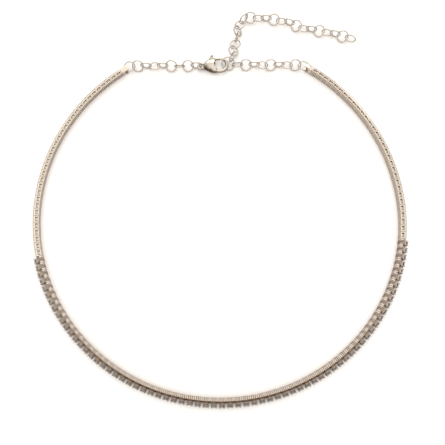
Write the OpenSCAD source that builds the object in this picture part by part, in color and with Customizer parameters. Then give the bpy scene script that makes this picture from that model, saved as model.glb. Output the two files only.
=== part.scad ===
// Flexible choker: a band of hinged box links standing on its edge, the front ones carrying
// a row of round cut stones, closed at the back by a cable chain with a claw clasp.
// Millimetres. +Z is up, the necklace lies on z = 0 and the back of the neck is at +Y.

/* [Band] */
// Hinge to hinge length of one band link
link_pitch = 2.3; // [2.26:0.01:2.34]
// Height of the band when it stands on its edge
band_h = 2.2; // [2.1:0.05:2.4]
// Depth of a plain link from its inner wall to its outer wall
plain_d = 1.8; // [1.7:0.05:1.9]
// Plain links on the wearer's left, at +X
plain_right = 31; // [20:1:31]
// Links that carry a stone
stone_links = 69; // [40:1:69]
// Plain links at -X
plain_left = 33; // [20:1:33]
// Lean of the band's top edge, outwards at the +X end and inwards at the -X end
lean = 8; // [0:1:8]

/* [Hinges] */
// Distance of the hinge pins from the inner wall
pin_in = 0.9; // [0.88:0.01:0.92]
// Radius of a hinge pin
pin_r = 0.18; // [0.16:0.01:0.19]
// Gap between parts that move against each other
gap = 0.1; // [0.08:0.01:0.11]

/* [Stones] */
// Girdle diameter of a stone
stone_d = 1.6; // [1.4:0.05:1.6]
// Width of a claw
claw_wire = 0.36; // [0.3:0.02:0.36]

/* [Chain] */
// Outside diameter of a round chain link
ring_d = 4.3; // [4.25:0.05:4.35]
// Diameter of the chain wire
ring_wire = 0.5; // [0.46:0.01:0.51]

/* [Clasp] */
// Thickness of the clasp's body
clasp_t = 2.4; // [2.3:0.05:2.5]
// Radius of the clasp's hook, to the middle of its bar
hook_r = 2.65; // [2.6:0.01:2.7]
// Radius of the hook's round bar
hook_bar = 0.58; // [0.55:0.01:0.59]

/* [Hidden] */
$fn = 24;

white_gold = [0.87, 0.82, 0.74];
bright_gold = [0.92, 0.89, 0.83];
diamond = [0.93, 0.95, 0.97];

// How far shapes that are one solid run into each other
lap = 0.1;

// Centre line of the hinge pins: arcs that turn clockwise, from the +X end round the front.
// It starts at band_start, [x, y, heading].
ARC_RADIUS = 0;
ARC_LENGTH = 1;
band_arcs = [
    [64.3, 58],
    [59.9, 60],
    [59.0, 70],
    [61.5, 60],
    [63.3, 58]
];
band_start = [33.7, 43.85, -36.4];
link_count = plain_right + stone_links + plain_left;

// Place and heading [x, y, heading] after a length of one arc from a place p
function arc_end(p, radius, len) =
    let (turn = len / radius * 180 / PI)
    [p[0] + radius * (sin(p[2]) - sin(p[2] - turn)),
     p[1] + radius * (cos(p[2] - turn) - cos(p[2])),
     p[2] - turn];

// Place and heading at a length along the whole centre line
function along_band(len, i = 0, p = band_start) =
    i == len(band_arcs) - 1 || len <= band_arcs[i][ARC_LENGTH]
    ? arc_end(p, band_arcs[i][ARC_RADIUS], len)
    : along_band(len - band_arcs[i][ARC_LENGTH], i + 1,
                 arc_end(p, band_arcs[i][ARC_RADIUS], band_arcs[i][ARC_LENGTH]));

function pin_place(k) = along_band(k * link_pitch);
function lean_at(k) = lean * (1 - 2 * k / link_count);

// Turns a piece about the foot of the hinge line so that it leans, and lifts it back to z = 0
module leaning(angle) {
    lift = sin(abs(angle)) * (angle > 0 ? plain_d - pin_in : pin_in);
    translate([0, 0, lift]) rotate([-angle, 0, 0]) children();
}

// Puts a link, drawn between x = 0 and x = link_pitch, between pins k and k + 1
module at_link(k) {
    a = pin_place(k);
    b = pin_place(k + 1);
    translate([a[0], a[1], 0])
    rotate([0, 0, atan2(b[1] - a[1], b[0] - a[0])])
    leaning(lean_at(k + 0.5)) children();
}

// Heights of the three hinge leaves, one gap apart between the two rims
rim_h = 0.45;
leaf_t = (band_h - 2 * rim_h - 4 * gap) / 3;
leaf_z = [for (i = [0:2]) rim_h + gap + i * (leaf_t + gap)];
leaf_r = 0.5;
tongue_r = 0.45;
arm_w = 0.64;
core_x = 0.7;
end_gap = 0.07;

module hinge_pin() {
    translate([0, 0, leaf_z[0] + lap / 2])
        cylinder(h = leaf_z[2] + leaf_t - leaf_z[0] - lap, r = pin_r);
}

// Two leaves and the pin at the far end, and the drilled tongue at the near end
module hinge() {
    for (z = [leaf_z[0], leaf_z[2]])
        translate([0, 0, z]) {
            translate([link_pitch, 0, 0]) cylinder(h = leaf_t, r = leaf_r);
            translate([core_x + lap, -arm_w / 2, 0]) cube([link_pitch - core_x - lap, arm_w, leaf_t]);
        }
    translate([link_pitch, 0, 0]) hinge_pin();
    difference() {
        translate([0, 0, leaf_z[1]]) {
            cylinder(h = leaf_t, r = tongue_r);
            translate([0, -arm_w / 2, 0]) cube([core_x + lap, arm_w, leaf_t]);
        }
        translate([0, 0, leaf_z[1] - 1]) cylinder(h = leaf_t + 2, r = pin_r + gap);
    }
}

// Plain link: a tube of two walls and two slotted rims with the hinge hidden inside it
wall_t = 0.25;
inner_bar = 0.3;
outer_bar = 0.7;
rim_end = 0.34;

module plain_link() {
    y0 = -pin_in;
    x0 = end_gap;
    x1 = link_pitch - end_gap;
    translate([x0, y0, 0]) cube([x1 - x0, wall_t, band_h]);
    translate([x0, y0 + plain_d - wall_t, 0]) cube([x1 - x0, wall_t, band_h]);
    for (z = [0, band_h - rim_h])
        translate([0, 0, z]) difference() {
            translate([x0, y0 + lap, 0]) cube([x1 - x0, plain_d - 2 * lap, rim_h]);
            translate([x0 + rim_end, y0 + inner_bar, -1])
                cube([x1 - x0 - 2 * rim_end, plain_d - inner_bar - outer_bar, rim_h + 2]);
        }
    translate([core_x, y0 + lap, rim_h - lap])
        cube([link_pitch - 2 * core_x, plain_d - 2 * lap, band_h - 2 * rim_h + 2 * lap]);
    hinge();
}

// Stone link: the same hinge, an inner wall with two rims and a four claw basket on the core
strip_d = 0.95;
neck_x = 0.45;
neck_out = 0.5;
collar_x = 0.25;
collar_out = 0.9;
core_out = 0.3;
seat_z = band_h / 2;
gallery_y = 1.0;
gallery_t = 0.25;
gallery_half = 0.61;
gallery_bar = 0.12;
girdle_y = 1.62;
culet_y = 0.92;
table_y = 1.88;

// A rim is a strip along the inner wall, a neck over the core and a wider collar that the claws
// stand on, so that the hinges show as dark holes between the necks
rim_half = [
    [end_gap, -pin_in + lap],
    [end_gap, strip_d - pin_in],
    [neck_x, strip_d - pin_in],
    [neck_x, neck_out],
    [collar_x, neck_out + neck_x - collar_x],
    [collar_x, collar_out]
];

module stone_rim() {
    last = len(rim_half) - 1;
    far_half = [for (i = [last:-1:0]) [link_pitch - rim_half[i][0], rim_half[i][1]]];
    linear_extrude(rim_h) polygon(concat(rim_half, far_half));
}

module inner_wall() {
    translate([end_gap, -pin_in, 0]) cube([link_pitch - 2 * end_gap, wall_t, band_h]);
    for (z = [0, band_h - rim_h]) translate([0, 0, z]) stone_rim();
}

// One claw seen from the side, [distance from the stone's axis, distance outwards]: it leans out
// from the core through the collar, stands along the girdle and bends in over the stone's edge
claw_side = [
    [0.30, 0.15],
    [0.58, 0.15],
    [1.08, 1.45],
    [1.08, 1.88],
    [0.72, 2.04],
    [0.88, 1.70],
    [0.87, 1.50]
];

module claws() {
    for (turn = [45:90:315])
        rotate([0, turn, 0]) translate([0, 0, -claw_wire / 2])
            linear_extrude(claw_wire) polygon(claw_side);
}

// Square frame that ties the claws together under the girdle
module gallery() {
    translate([0, gallery_y + gallery_t / 2, 0]) difference() {
        cube([2 * gallery_half, gallery_t, 2 * gallery_half], center = true);
        cube([2 * (gallery_half - gallery_bar), 1, 2 * (gallery_half - gallery_bar)], center = true);
    }
}

module stone_setting() {
    inner_wall();
    translate([core_x, -pin_in + lap, rim_h - lap])
        cube([link_pitch - 2 * core_x, pin_in + core_out - lap, band_h - 2 * rim_h + 2 * lap]);
    hinge();
    translate([link_pitch / 2, 0, seat_z]) {
        claws();
        gallery();
    }
}

// Round cut stone, table outwards: a flat table, eight crown facets, a thin girdle and
// eight pavilion facets that meet at the culet
sides = 8;
table_r = 0.56 * stone_d / 2;
girdle_t = 0.04;

function stone_ring(radius, y, turn) =
    [for (i = [0:sides - 1]) let (a = (i + turn) * 360 / sides) [radius * cos(a), y, radius * sin(a)]];

module stone() {
    r = stone_d / 2;
    points = concat(
        stone_ring(table_r, table_y, 0.5),
        stone_ring(r, girdle_y + girdle_t / 2, 0.5),
        stone_ring(r, girdle_y - girdle_t / 2, 0.5),
        [[0, culet_y, 0]]);
    n = sides;
    faces = concat(
        [[for (i = [0:n - 1]) i]],
        [for (i = [0:n - 1]) let (j = (i + 1) % n) [j, i, n + i, n + j]],
        [for (i = [0:n - 1]) let (j = (i + 1) % n) [n + j, n + i, 2 * n + i, 2 * n + j]],
        [for (i = [0:n - 1]) let (j = (i + 1) % n) [2 * n + j, 2 * n + i, 3 * n]]);
    translate([link_pitch / 2, 0, seat_z]) polyhedron(points = points, faces = faces);
}

// End link: a closed box whose rims reach on over an upright post that holds the chain
cap_len = 3.0;
cap_wall = 1.5;
cap_nose = 0.6;
post_x = 2.6;
post_r = 0.2;

module cap_box() {
    half = plain_d / 2;
    for (z = [0, band_h - rim_h])
        translate([0, 0, z]) linear_extrude(rim_h)
            polygon([[end_gap, -half], [cap_len - cap_nose, -half], [cap_len, -half / 2],
                     [cap_len, half / 2], [cap_len - cap_nose, half], [end_gap, half]]);
    for (y = [-half, half - wall_t])
        translate([end_gap, y, 0]) cube([cap_wall - end_gap, wall_t, band_h]);
    translate([core_x, -half + lap, rim_h - lap])
        cube([cap_wall - core_x - lap, plain_d - 2 * lap, band_h - 2 * rim_h + 2 * lap]);
    translate([post_x, 0, rim_h - lap]) cylinder(h = band_h - 2 * rim_h + 2 * lap, r = post_r);
}

module near_hinge() {
    for (z = [leaf_z[0], leaf_z[2]])
        translate([0, 0, z]) {
            cylinder(h = leaf_t, r = leaf_r);
            translate([0, -arm_w / 2, 0]) cube([core_x + lap, arm_w, leaf_t]);
        }
    hinge_pin();
}

module far_hinge() {
    translate([0, 0, leaf_z[1]]) difference() {
        union() {
            cylinder(h = leaf_t, r = tongue_r);
            translate([0, -arm_w / 2, 0]) cube([core_x + lap, arm_w, leaf_t]);
        }
        translate([0, 0, -1]) cylinder(h = leaf_t + 2, r = pin_r + gap);
    }
}

module end_cap_right() {
    p = pin_place(0);
    color(white_gold) translate([p[0], p[1], 0]) rotate([0, 0, p[2]])
        leaning(lean_at(0)) rotate([0, 0, 180]) {
            near_hinge();
            cap_box();
        }
}

module end_cap_left() {
    p = pin_place(link_count);
    color(white_gold) translate([p[0], p[1], 0]) rotate([0, 0, p[2]])
        leaning(lean_at(link_count)) {
            far_hinge();
            cap_box();
        }
}

module plain_links_right() {
    color(white_gold) for (k = [0:plain_right - 1]) at_link(k) plain_link();
}

// The stone links are two runs that meet at the front
right_run = ceil(stone_links / 2);

module stone_settings_right() {
    color(white_gold)
        for (k = [plain_right:plain_right + right_run - 1]) at_link(k) stone_setting();
}

module stone_settings_left() {
    color(white_gold)
        for (k = [plain_right + right_run:plain_right + stone_links - 1]) at_link(k) stone_setting();
}

module stones() {
    color(diamond) for (k = [plain_right:plain_right + stone_links - 1]) at_link(k) stone();
}

module plain_links_left() {
    color(white_gold) for (k = [plain_right + stone_links:link_count - 1]) at_link(k) plain_link();
}

// A round link at a place, its heading along the chain and its roll about that heading.
// It hangs at the chain's height, or higher where its lower side would touch the floor.
chain_z = 1.7;
ring_r = (ring_d - ring_wire) / 2;

function ring_z(roll, low) = max(low, ring_r * abs(sin(roll)) + ring_wire / 2);

module round_link(x, y, heading, roll, low = chain_z) {
    translate([x, y, ring_z(roll, low)]) rotate([0, 0, heading]) rotate([roll, 0, 0])
        rotate_extrude($fn = 48) translate([ring_r, 0]) circle(r = ring_wire / 2, $fn = 16);
}

// Straight run of round links from one place to another, one for each roll in the list. The one
// with the number end_ring holds the end link's post and lies lower than the rest.
module straight_run(from, to, rolls, end_ring, end_z) {
    last = len(rolls) - 1;
    step = (to - from) / last;
    for (i = [0:last]) {
        p = from + step * i;
        round_link(p[0], p[1], atan2(step[1], step[0]), rolls[i], i == end_ring ? end_z : chain_z);
    }
}

// The clasp lies with its hook's centre here, turned a little
hook_at = [0.2, 46.55];
clasp_turn = 5;
function on_clasp(x, y) =
    hook_at + [x * cos(clasp_turn) - y * sin(clasp_turn), x * sin(clasp_turn) + y * cos(clasp_turn)];

left_end_z = 1.5;
right_end_z = 1.38;
end_ring_x = 3.9;
tail_x = -6.7;
tail_reach = 1.8;
function beyond(p, heading, d) = [p[0] + d * cos(heading), p[1] + d * sin(heading)];

left_from = beyond(pin_place(link_count), pin_place(link_count)[2], end_ring_x);
left_to = on_clasp(tail_x - tail_reach, 0);
left_rolls = [184, 50, 105, 165, 105, 45, 135, 45, 100];

module chain_left() {
    color(bright_gold) straight_run(left_from, left_to, left_rolls, 0, left_end_z);
}

// The larger ring that the clasp hooks into
clasp_ring_r = 2.25;
clasp_ring_wire = 0.42;
clasp_ring_at = [3.23, 46.91, 1.5];
clasp_ring_heading = -5.2;
clasp_ring_roll = 34;

module clasp_ring() {
    color(bright_gold) translate(clasp_ring_at)
        rotate([0, 0, clasp_ring_heading]) rotate([clasp_ring_roll, 0, 0])
        rotate_extrude($fn = 48) translate([clasp_ring_r, 0]) circle(r = clasp_ring_wire / 2, $fn = 16);
}

// The first ring holds on to the larger one, and a straight run goes on to the end link
right_from = [9.67, 46.24];
right_to = beyond(pin_place(0), pin_place(0)[2] + 180, end_ring_x);
right_rolls = [45, 105, 165, 45, 105, 165, 50, 176];
first_right_at = [6.65, 46.56];
first_right_heading = 5.2;
first_right_roll = 148.6;
first_right_z = 1.51;

module chain_right() {
    color(bright_gold) {
        round_link(first_right_at[0], first_right_at[1], first_right_heading,
                   first_right_roll, first_right_z);
        straight_run(right_from, right_to, right_rolls, len(right_rolls) - 1, right_end_z);
    }
}

// The free end lies in a bent line: its corners [x, y], walked at an even step
bends = [
    [5.2, 52.28],
    [6.6, 58.3],
    [6.8, 61.6],
    [8.3, 65.6],
    [10.6, 67.2],
    [19.7, 66.4],
    [26.8, 64.6],
    [30.5, 62.3],
    [33.4, 61.9],
    [41.8, 60.0],
    [48.5, 57.7]
];
free_rolls = [30, 165, 105, 45, 165, 90, 30, 165, 105, 45,
              165, 105, 45, 165, 105, 45, 165, 105, 45, 165];
first_free_at = [4.86, 49.36];
first_free_heading = 77;
first_free_roll = 122.5;
first_free_z = 2.2;

// A ring's heading is that of the line this far to either side of it
ahead = 1.5;

function run_length(i = 0) =
    i == len(bends) - 1 ? 0 : norm(bends[i + 1] - bends[i]) + run_length(i + 1);
function on_run(s, i = 0) =
    let (d = norm(bends[i + 1] - bends[i]))
    i == len(bends) - 2 || s <= d
    ? bends[i] + (bends[i + 1] - bends[i]) * s / d
    : on_run(s - d, i + 1);

module extender_chain() {
    last = len(free_rolls) - 1;
    color(bright_gold) {
        round_link(first_free_at[0], first_free_at[1], first_free_heading,
                   first_free_roll, first_free_z);
        for (i = [0:last]) {
            s = run_length() * i / last;
            p = on_run(s);
            a = on_run(max(0, s - ahead));
            b = on_run(s + ahead);
            round_link(p[0], p[1], atan2(b[1] - a[1], b[0] - a[0]), free_rolls[i]);
        }
    }
}

// Claw clasp, drawn with its hook's centre at the origin and its nose towards +X
mid_z = clasp_t / 2;
inner_r = hook_r - hook_bar;
hook_tip = 62;
hook_root = -140;
pivot = [-3.1, -0.35];
pivot_r = 0.35;
pivot_gap = 0.06;
lever_t = 0.84;
slot_t = 1.0;
slot_corner = [-5.1, -1.3];
slot_side = 6;
boss_r = 0.86;
eye_mid = 1.15;
eye_bar = 0.37;

// Outlines seen from above, [x, y]
cheek_outline = [
    [tail_x + 0.9, 0.6],
    [-5.2, 1.15],
    [-4.3, 1.9],
    [-3.4, 2.45],
    [-1.75, 2.55],
    [-1.2, 1.2],
    [-1.0, -1.2],
    [-1.3, -2.9],
    [-2.6, -2.75],
    [-4.2, -1.85],
    [-5.4, -1.0],
    [tail_x + 0.9, -0.6]
];
lever_outline = [
    [-3.92, -0.3],
    [-3.85, 1.6],
    [-3.55, 3.1],
    [-3.05, 4.0],
    [-2.6, 4.3],
    [-2.2, 4.2],
    [-2.15, 3.3],
    [-1.5, 2.95],
    [0.5, 2.85],
    [0.5, 2.2],
    [-1.2, 2.25],
    [-2.1, 1.9],
    [-2.35, 1.0],
    [-2.28, -0.3]
];

module in_clasp_place() {
    translate([hook_at[0], hook_at[1], 0]) rotate([0, 0, clasp_turn]) children();
}

module clasp_body() {
    color(white_gold) in_clasp_place() {
        difference() {
            linear_extrude(clasp_t) polygon(cheek_outline);
            translate([0, 0, -1]) cylinder(h = clasp_t + 2, r = inner_r, $fn = 64);
            translate([slot_corner[0], slot_corner[1], mid_z - slot_t / 2])
                cube([slot_side, slot_side, slot_t]);
        }
        translate([pivot[0], pivot[1], lap]) cylinder(h = clasp_t - 2 * lap, r = pivot_r);
        translate([0, 0, mid_z]) {
            rotate([0, 0, hook_root]) rotate_extrude(angle = hook_tip - hook_root, $fn = 64)
                translate([hook_r, 0]) circle(r = hook_bar);
            translate([hook_r * cos(hook_tip), hook_r * sin(hook_tip), 0]) sphere(r = hook_bar + 0.01);
            translate([tail_x, 0, 0])
                rotate_extrude($fn = 48) translate([eye_mid, 0]) circle(r = eye_bar);
        }
    }
}

module clasp_lever() {
    color(bright_gold) in_clasp_place() translate([0, 0, mid_z - lever_t / 2])
        difference() {
            union() {
                linear_extrude(lever_t) polygon(lever_outline);
                translate([pivot[0], pivot[1], 0]) cylinder(h = lever_t, r = boss_r);
            }
            translate([pivot[0], pivot[1], -1]) cylinder(h = lever_t + 2, r = pivot_r + pivot_gap);
        }
}

plain_links_right();
stone_settings_right();
stone_settings_left();
stones();
plain_links_left();
end_cap_right();
end_cap_left();
chain_left();
chain_right();
clasp_ring();
extender_chain();
clasp_body();
clasp_lever();
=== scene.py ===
import math

import bmesh
import bpy
from mathutils import Matrix, Vector


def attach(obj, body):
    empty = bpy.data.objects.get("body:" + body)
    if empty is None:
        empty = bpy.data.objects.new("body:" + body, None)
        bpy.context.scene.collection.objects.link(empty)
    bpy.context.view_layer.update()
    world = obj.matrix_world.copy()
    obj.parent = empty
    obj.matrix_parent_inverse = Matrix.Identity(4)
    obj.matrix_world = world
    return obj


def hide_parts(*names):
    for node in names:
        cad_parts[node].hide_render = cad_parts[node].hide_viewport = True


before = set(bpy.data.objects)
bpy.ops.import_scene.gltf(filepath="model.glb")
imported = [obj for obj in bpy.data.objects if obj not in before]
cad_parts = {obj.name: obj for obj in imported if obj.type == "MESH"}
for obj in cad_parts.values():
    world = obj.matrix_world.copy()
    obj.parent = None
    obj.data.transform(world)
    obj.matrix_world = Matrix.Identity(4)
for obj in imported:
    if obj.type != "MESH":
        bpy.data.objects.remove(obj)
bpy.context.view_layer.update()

# ---- Table, light and camera ----
# The necklace lies on a plain white table under a wide soft light. The camera hangs over the
# front of the band and looks back towards the clasp, 73 degrees down.
MM = 0.001  # sizes are in millimetres and angles in degrees, unless a comment says otherwise
CAMERA_AT = (1.2, -56.1, 141.0)
CAMERA_TILT = 17.0
CAMERA_LENS = 36.4
TABLE_HALF = 1.5  # in metres, like the rest of the table and the lights
TABLE_TOP = -0.00003  # just under the metal, so that the two never share a plane
PAPER_SHADES = ((0.0, (0.80, 0.77, 0.75)), (1.0, (0.82, 0.79, 0.77)))
# How bright the studio is at each height above the table, from its edge to straight overhead
STUDIO_SHADES = ((0.0, 0.3), (0.2, 0.36), (0.42, 1.15), (0.62, 1.5), (0.85, 1.85), (0.94, 1.9),
                 (0.99, 1.6))
STUDIO_TINT = (1.0, 0.985, 0.965)

scene = bpy.context.scene
scene.view_settings.view_transform = "Standard"

camera = bpy.data.objects.new("camera", bpy.data.cameras.new("camera"))
camera.data.sensor_width = 36.0
camera.data.lens = CAMERA_LENS
camera.data.clip_start = 0.005
camera.data.clip_end = 10.0
camera.location = [c * MM for c in CAMERA_AT]
camera.rotation_euler = (math.radians(CAMERA_TILT), 0.0, 0.0)
scene.collection.objects.link(camera)
scene.camera = camera


def new_node(tree, kind, settings=None, **sockets):
    """A node with its properties set and its sockets given a value or a link.

    A socket goes by its name, with _ for a space, or by its number, as in i0."""
    made = tree.nodes.new(kind)
    for name, value in (settings or {}).items():
        setattr(made, name, value)
    for name, value in sockets.items():
        numbered = name[0] == "i" and name[1:].isdigit()
        name = int(name[1:]) if numbered else name.replace("_", " ")
        if isinstance(value, bpy.types.NodeSocket):
            tree.links.new(value, made.inputs[name])
        else:
            made.inputs[name].default_value = value
    return made


def shade_ramp(tree, value, stops):
    """The colour at a value, between the colours given for some of its positions."""
    made = new_node(tree, "ShaderNodeValToRGB", Fac=value)
    elements = made.color_ramp.elements
    first, *others, last = stops
    for element, (position, colour) in ((elements[0], first), (elements[1], last)):
        element.position = position
        element.color = (*colour, 1)
    for position, colour in others:
        elements.new(position).color = (*colour, 1)
    return made.outputs["Color"]


def new_material(name):
    """A material, its node tree, its shader, and the place on the piece for its patterns."""
    made = bpy.data.materials.new(name)
    made.use_nodes = True
    tree = made.node_tree
    place = new_node(tree, "ShaderNodeTexCoord").outputs["Object"]
    return made, tree, tree.nodes["Principled BSDF"], place


def plain_table():
    corners = ((-1, -1), (1, -1), (1, 1), (-1, 1))
    mesh = bpy.data.meshes.new("table")
    mesh.from_pydata([(x * TABLE_HALF, y * TABLE_HALF, TABLE_TOP) for x, y in corners], [],
                     [(0, 1, 2, 3)])
    table = bpy.data.objects.new("table", mesh)
    scene.collection.objects.link(table)
    paper, tree, shader, place = new_material("white_table")
    shader.inputs["Roughness"].default_value = 0.9
    shader.inputs["Specular IOR Level"].default_value = 0.1
    fibre = new_node(tree, "ShaderNodeTexNoise", Vector=place, Scale=600.0, Detail=3.0)
    tint = shade_ramp(tree, fibre.outputs["Fac"], PAPER_SHADES)
    tree.links.new(tint, shader.inputs["Base Color"])
    mesh.materials.append(paper)


def soft_light(name, at, size, power, colour):
    """A rectangular softbox that faces the middle of the loop."""
    lamp = bpy.data.lights.new(name, "AREA")
    lamp.shape = "RECTANGLE"
    lamp.size, lamp.size_y = size
    lamp.energy = power
    lamp.color = colour
    holder = bpy.data.objects.new(name, lamp)
    holder.location = at
    aim = Vector() - Vector(at)
    holder.rotation_euler = aim.to_track_quat("-Z", "Y").to_euler()
    scene.collection.objects.link(holder)


def studio_air():
    world = bpy.data.worlds.new("studio")
    scene.world = world
    world.use_nodes = True
    tree = world.node_tree
    tree.nodes.clear()
    toward = new_node(tree, "ShaderNodeTexCoord").outputs["Generated"]
    height = new_node(tree, "ShaderNodeSeparateXYZ", Vector=toward).outputs["Z"]
    shade = shade_ramp(tree, height, [(at, [grey * c for c in STUDIO_TINT])
                                      for at, grey in STUDIO_SHADES])
    glow = new_node(tree, "ShaderNodeBackground", Color=shade).outputs[0]
    new_node(tree, "ShaderNodeOutputWorld", Surface=glow)


plain_table()
studio_air()
soft_light("right_back_softbox", (0.593, 0.733, 0.567), (0.22, 0.15), 0.2, (1.0, 0.99, 0.93))
soft_light("back_softbox", (0.0, 1.10, 0.75), (0.8, 0.4), 3.9, (1.0, 0.99, 0.97))

# ---- Plain links ----
# Small tubes of pale warm white gold, 31 at one end of the band and 33 at the other. Each is
# folded from sheet with a slot above and below, and turns on a pin hidden inside its neighbour.
LINK_PITCH = 2.3
BAND_HEIGHT = 2.2
WALL_AT = 0.9  # from the pins out to the walls' outer faces
WALL_T = 0.25
RIM_H = 0.45
END_GAP = 0.07  # from a pin to the link's own end
LEAN = 8.0
PLAIN_RIGHT = 31
STONE_LINKS = 69
PLAIN_LEFT = 33
LINKS = PLAIN_RIGHT + STONE_LINKS + PLAIN_LEFT
BAND_START = (33.7, 43.85, -36.4)  # x, y and heading of the first pin
BAND_ARCS = ((64.3, 58.0), (59.9, 60.0), (59.0, 70.0), (61.5, 60.0), (63.3, 58.0))  # radius, length

MIDDLE_Z = BAND_HEIGHT / 2
LINK_X = (END_GAP, LINK_PITCH - END_GAP)
HOLLOW_Y = WALL_AT - WALL_T
HOLLOW_Z = (RIM_H, BAND_HEIGHT - RIM_H)
SLOT_X = (0.41, 1.89)
SLOT_Y = (-0.6, 0.2)
CORE_X = (0.7, 1.6)
CORE_Y = 0.78
CORE_Z = (0.35, 1.85)
CROWN = 0.055  # how much the rims fall away towards the walls, as a share of half the height
RIM_SKIN = 0.9  # what is further out than this share of half the height is a rim's own face
LEAVES = ((0.55, 0.85), (0.95, 1.25), (1.35, 1.65))  # heights of a leaf, the tongue, a leaf
LEAF_R = 0.5
TONGUE_R = 0.45
ARM_HALF = 0.32
ARM_TO = 0.8
PIN_R = 0.18
PIN_Z = (0.6, 1.6)
INSET = 0.005  # keeps one part's face just inside another's, where both would share a plane
SOFT = 0.03  # how far an edge is rounded
FRAME_SOFT = 0.04  # the same on the larger parts
SHARP = 0.5  # in radians; an edge that turns further is rounded

RIB_GROOVES = (0.61, 1.15, 1.69)  # along the link, from its own pin
GROOVE_HALF = 0.08
GROOVE_DEPTH = 0.04
GROOVE_CUTS = [g + side for g in RIB_GROOVES for side in (-GROOVE_HALF, GROOVE_HALF)]
# Where shade is painted: the grooves' floors, and a painted dark reflection on the outer edge
GROOVE_WALL = (-0.88, -0.7)
GROOVE_RIMS = ((0.03, 0.2), (2.0, 2.17))
OUTER_EDGE = (0.8, 0.885)

# How much shade is painted on the metal, which also roughens it, from 0 for the polished faces.
# A share over 1 stays dark along the sides of the loop, where the painted shade is weaker
GROOVE_SHADE = 0.92
OUTER_EDGE_SHADE = 1.3
PLAIN_CORE_SHADE = 0.35
PLAIN_HINGE_SHADE = 0.5
# How strong the painted shade is, from the front of the loop to its back: weakest at the sides
LOOP_SHADE = ((0.06, 1.0), (0.24, 0.66), (0.7, 0.66), (0.82, 1.0))
LOOP_FRONT = -0.07  # in metres
LOOP_BACK = 0.06
GOLD = (0.56, 0.495, 0.42)
# The dark colour of the painted shade, which the gold is mixed towards
SHADE_GOLD = (0.07, 0.022, 0.003)
CLOUDED = 0.9  # how bright the gold is where it is clouded
RUBBED = (0.7, 1.4)  # the share of its roughness where it is rubbed least and most
DULL_ROUGHNESS = 0.35  # how much rougher the metal is where shade is painted


def pin_place(number):
    """Place and heading of a hinge pin: the centre line is five arcs that turn clockwise."""
    x, y, heading = BAND_START
    left = number * LINK_PITCH
    for radius, length in BAND_ARCS:
        step = min(left, length)
        turn = step / radius
        a = math.radians(heading)
        x += radius * (math.sin(a) - math.sin(a - turn))
        y += radius * (math.cos(a - turn) - math.cos(a))
        heading -= math.degrees(turn)
        left -= step
        if left <= 1e-9:
            break
    return x, y, heading


def maths(tree, operation, *terms):
    """The result of a Math node."""
    sockets = {"i%d" % i: term for i, term in enumerate(terms)}
    return new_node(tree, "ShaderNodeMath", {"operation": operation}, **sockets).outputs[0]


def polished_gold(name, colour, dark, roughness, grain=900.0):
    """Polished gold: faint clouding, fine rubbing marks, and painted shade in the recesses.

    The painted shade also roughens the metal. It is weaker along the sides of the loop, where the
    middle ribs of the stone links' strips get painted shade of their own."""
    gold, tree, shader, place = new_material(name)
    shader.inputs["Metallic"].default_value = 1.0
    cloud = new_node(tree, "ShaderNodeTexNoise", Vector=place, Scale=grain, Detail=3.0)
    cloud = cloud.outputs["Fac"]
    tint = shade_ramp(tree, cloud, ((0.3, [c * CLOUDED for c in colour]), (0.72, colour)))
    back = new_node(tree, "ShaderNodeSeparateXYZ", Vector=place).outputs["Y"]
    along = new_node(tree, "ShaderNodeMapRange", Value=back, From_Min=LOOP_FRONT,
                     From_Max=LOOP_BACK).outputs["Result"]
    # How strong the painted shade is at this place around the loop
    loop_shade = shade_ramp(tree, along, [(at, (share, share, share)) for at, share in LOOP_SHADE])
    ribs = new_node(tree, "ShaderNodeAttribute", {"attribute_name": "middle_ribs_shade"}).outputs["Fac"]
    ribs = maths(tree, "MULTIPLY", ribs, maths(tree, "SUBTRACT", 1.0, loop_shade))
    painted_shade = new_node(tree, "ShaderNodeAttribute", {"attribute_name": "painted_shade"}).outputs["Fac"]
    painted_shade = maths(tree, "MULTIPLY_ADD", painted_shade, loop_shade, ribs)
    # Painted shade: the gold is mixed towards the dark shade colour as far as the layer asks
    blend = new_node(tree, "ShaderNodeMix", {"data_type": "RGBA"}, i0=painted_shade, i6=tint,
                     i7=(*dark, 1))
    tree.links.new(blend.outputs[2], shader.inputs["Base Color"])
    rub = new_node(tree, "ShaderNodeMapRange", Value=cloud, To_Min=roughness * RUBBED[0],
                   To_Max=roughness * RUBBED[1]).outputs["Result"]
    shade_and_dull = maths(tree, "MULTIPLY_ADD", painted_shade, DULL_ROUGHNESS, rub)
    tree.links.new(shade_and_dull, shader.inputs["Roughness"])
    scratch = new_node(tree, "ShaderNodeTexNoise", Vector=place, Scale=5000.0, Detail=2.0)
    bump = new_node(tree, "ShaderNodeBump", Height=scratch.outputs["Fac"], Strength=0.08,
                    Distance=0.00002)
    tree.links.new(bump.outputs["Normal"], shader.inputs["Normal"])
    return gold


def new_link():
    bm = bmesh.new()
    # A layer for painted shade: how far the gold at each vertex is darkened, and roughened
    bm.verts.layers.float.new("painted_shade")
    return bm


def shade_new(bm, known, painted_shade):
    """Paints shade, which also roughens the metal, on what was made since the known vertices."""
    layer = bm.verts.layers.float["painted_shade"]
    for v in bm.verts:
        if v not in known:
            v[layer] = painted_shade(v.co) if callable(painted_shade) else painted_shade


def soften(bm, known, offset, segments=1):
    """Rounds the sharp edges of what was made since the known vertices."""
    bm.normal_update()
    edges = [e for e in bm.edges if e.verts[0] not in known and len(e.link_faces) == 2
             and e.calc_face_angle(0.0) > SHARP]
    bmesh.ops.bevel(bm, geom=edges, offset=offset, segments=segments, affect="EDGES", profile=0.6,
                    clamp_overlap=True)


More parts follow.
